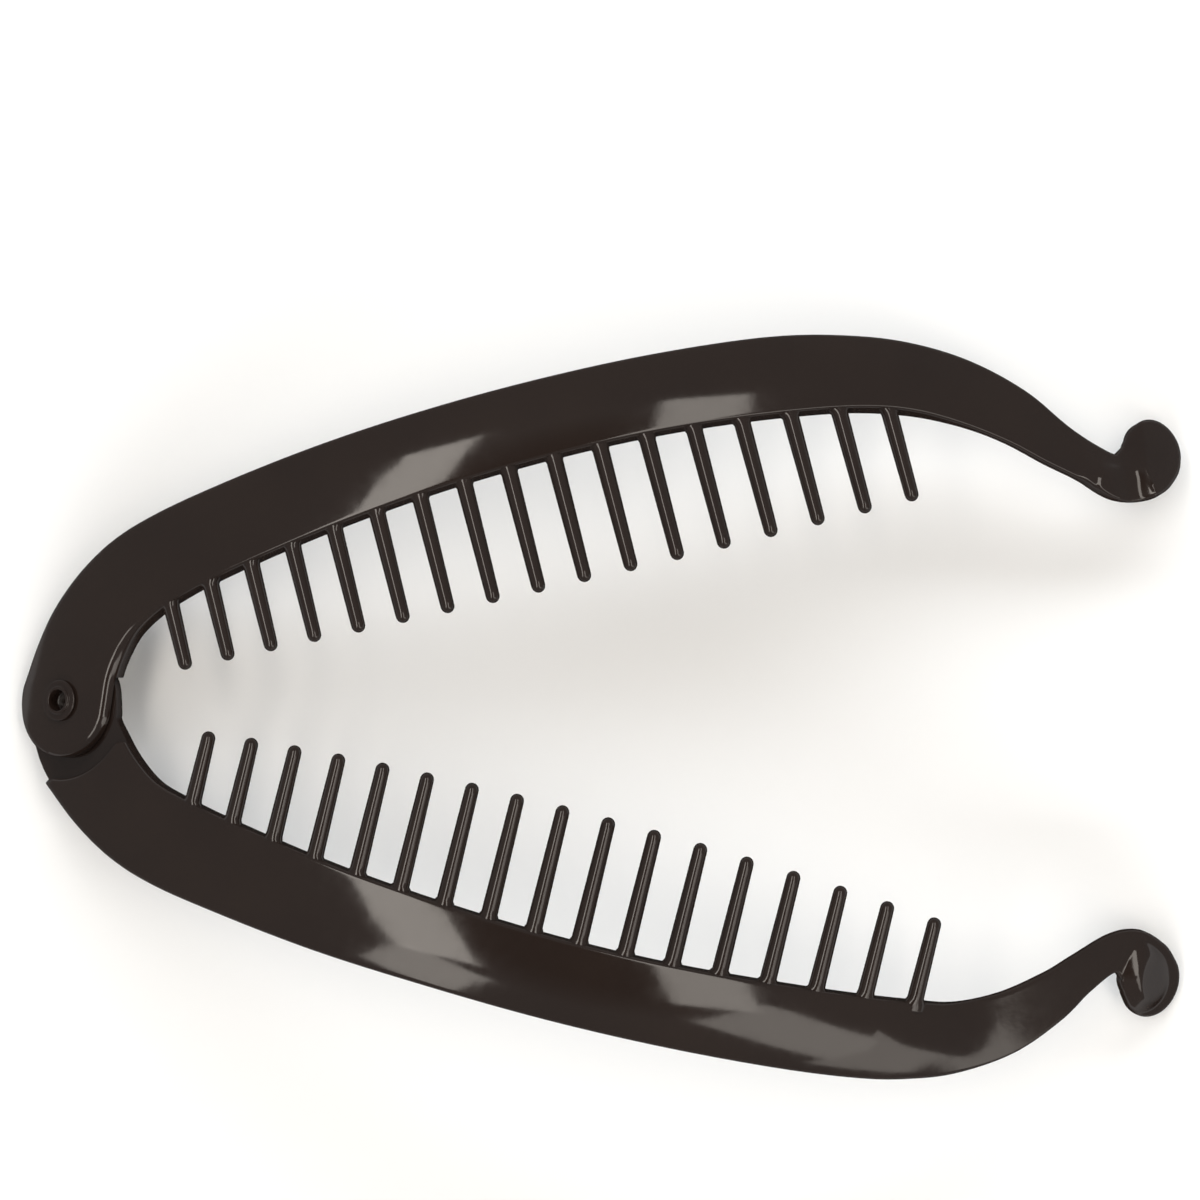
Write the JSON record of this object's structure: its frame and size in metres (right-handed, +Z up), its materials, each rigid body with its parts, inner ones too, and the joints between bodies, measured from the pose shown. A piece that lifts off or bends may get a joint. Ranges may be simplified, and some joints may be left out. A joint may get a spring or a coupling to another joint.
{
  "type": "banana hair clip",
  "caption": "Long arched hair clip: two hinged comb arms whose teeth interleave when shut and whose hooked ends cross and catch.",
  "frame": {"origin": "middle of the open clip's box, on the surface that it lies on", "axes": "+X from the hinge to the hooks, +Y towards the arm with the ear on top, +Z up, away from the surface"},
  "size_m": [0.1518, 0.0956, 0.0288],
  "materials": {
    "brown_plastic": "polished mould, dark brown",
    "rivet_plastic": "smooth, dark brown"
  },
  "bodies": {
    "lower_arm": {"lower_comb_arm": "brown_plastic", "hinge_rivet": "rivet_plastic"},
    "upper_arm": {"upper_comb_arm": "brown_plastic"}
  },
  "joints": [
    {"name": "hinge", "type": "hinge", "parent": "lower_arm", "child": "upper_arm", "pos_m": [-0.07046, 0.00235, 0.00679], "axis": [-0.566, 0.0579, 0.8224], "range_deg": [-34, 56]}
  ]
}
